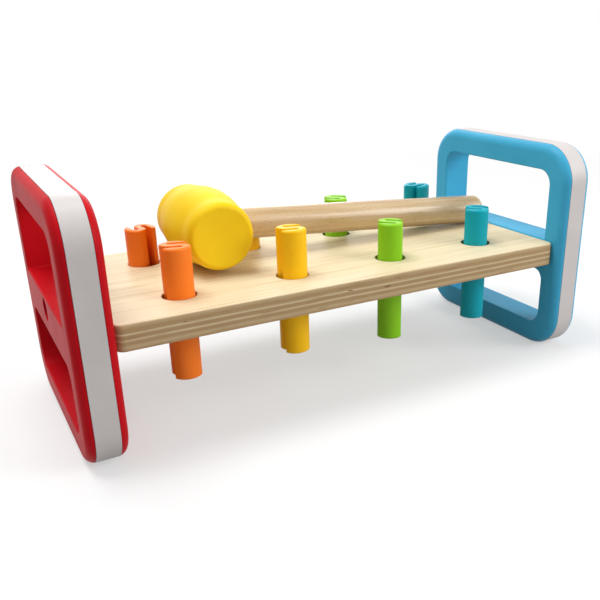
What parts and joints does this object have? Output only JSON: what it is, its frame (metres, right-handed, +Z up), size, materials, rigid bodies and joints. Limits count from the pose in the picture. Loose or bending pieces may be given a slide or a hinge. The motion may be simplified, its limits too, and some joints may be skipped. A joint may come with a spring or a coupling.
{
  "type": "peg pounding bench",
  "caption": "Toddler's pounding bench: a plywood board on two windowed end frames, with S-section spring pegs that slide through it and a mallet lying on it.",
  "frame": {"origin": "on the floor, under the middle of the board", "axes": "+X along the board towards the blue end frame, +Y across it towards the back row of pegs, +Z up"},
  "size_m": [0.2764, 0.118, 0.116],
  "materials": {
    "plywood": "sanded plywood, clear matt lacquer",
    "red_plastic": "satin moulded plastic",
    "blue_plastic": "satin moulded plastic",
    "white_plastic": "satin moulded plastic",
    "screw_steel": "zinc-plated",
    "orange_plastic": "glossy resilient plastic",
    "yellow_plastic": "glossy resilient plastic",
    "green_plastic": "glossy resilient plastic",
    "teal_plastic": "glossy resilient plastic",
    "head_yellow": "soft satin plastic",
    "beech": "clear lacquer"
  },
  "bodies": {
    "bench": {"board": "plywood", "red_outer_shell": "red_plastic", "red_inner_shell": "red_plastic", "red_rim_band": "white_plastic", "red_frame_screw": "screw_steel", "blue_outer_shell": "blue_plastic", "blue_inner_shell": "blue_plastic", "blue_rim_band": "white_plastic", "blue_frame_screw": "screw_steel"},
    "front_orange": {"front_orange_peg": "orange_plastic"},
    "front_yellow": {"front_yellow_peg": "yellow_plastic"},
    "front_green": {"front_green_peg": "green_plastic"},
    "front_teal": {"front_teal_peg": "teal_plastic"},
    "back_orange": {"back_orange_peg": "orange_plastic"},
    "back_yellow": {"back_yellow_peg": "yellow_plastic"},
    "back_green": {"back_green_peg": "green_plastic"},
    "back_teal": {"back_teal_peg": "teal_plastic"},
    "mallet": {"mallet_head": "head_yellow", "mallet_handle": "beech"}
  },
  "joints": [
    {"name": "front_orange_slide", "type": "slide", "parent": "bench", "child": "front_orange", "axis": [0, 0, 1], "range_m": [-0.0231, 0.0274]},
    {"name": "front_yellow_slide", "type": "slide", "parent": "bench", "child": "front_yellow", "axis": [0, 0, 1], "range_m": [-0.0234, 0.0271]},
    {"name": "front_green_slide", "type": "slide", "parent": "bench", "child": "front_green", "axis": [0, 0, 1], "range_m": [-0.0191, 0.0314]},
    {"name": "front_teal_slide", "type": "slide", "parent": "bench", "child": "front_teal", "axis": [0, 0, 1], "range_m": [-0.0195, 0.031]},
    {"name": "back_orange_slide", "type": "slide", "parent": "bench", "child": "back_orange", "axis": [0, 0, 1], "range_m": [-0.0186, 0.0319]},
    {"name": "back_yellow_slide", "type": "slide", "parent": "bench", "child": "back_yellow", "axis": [0, 0, 1], "range_m": [-0.019, 0.0315]},
    {"name": "back_green_slide", "type": "slide", "parent": "bench", "child": "back_green", "axis": [0, 0, 1], "range_m": [-0.0213, 0.0292]},
    {"name": "back_teal_slide", "type": "slide", "parent": "bench", "child": "back_teal", "axis": [0, 0, 1], "range_m": [-0.0228, 0.0277]},
    {"name": "mallet_lift", "type": "slide", "parent": "bench", "child": "mallet", "axis": [0, 0, 1], "range_m": [0, 0.12]}
  ]
}
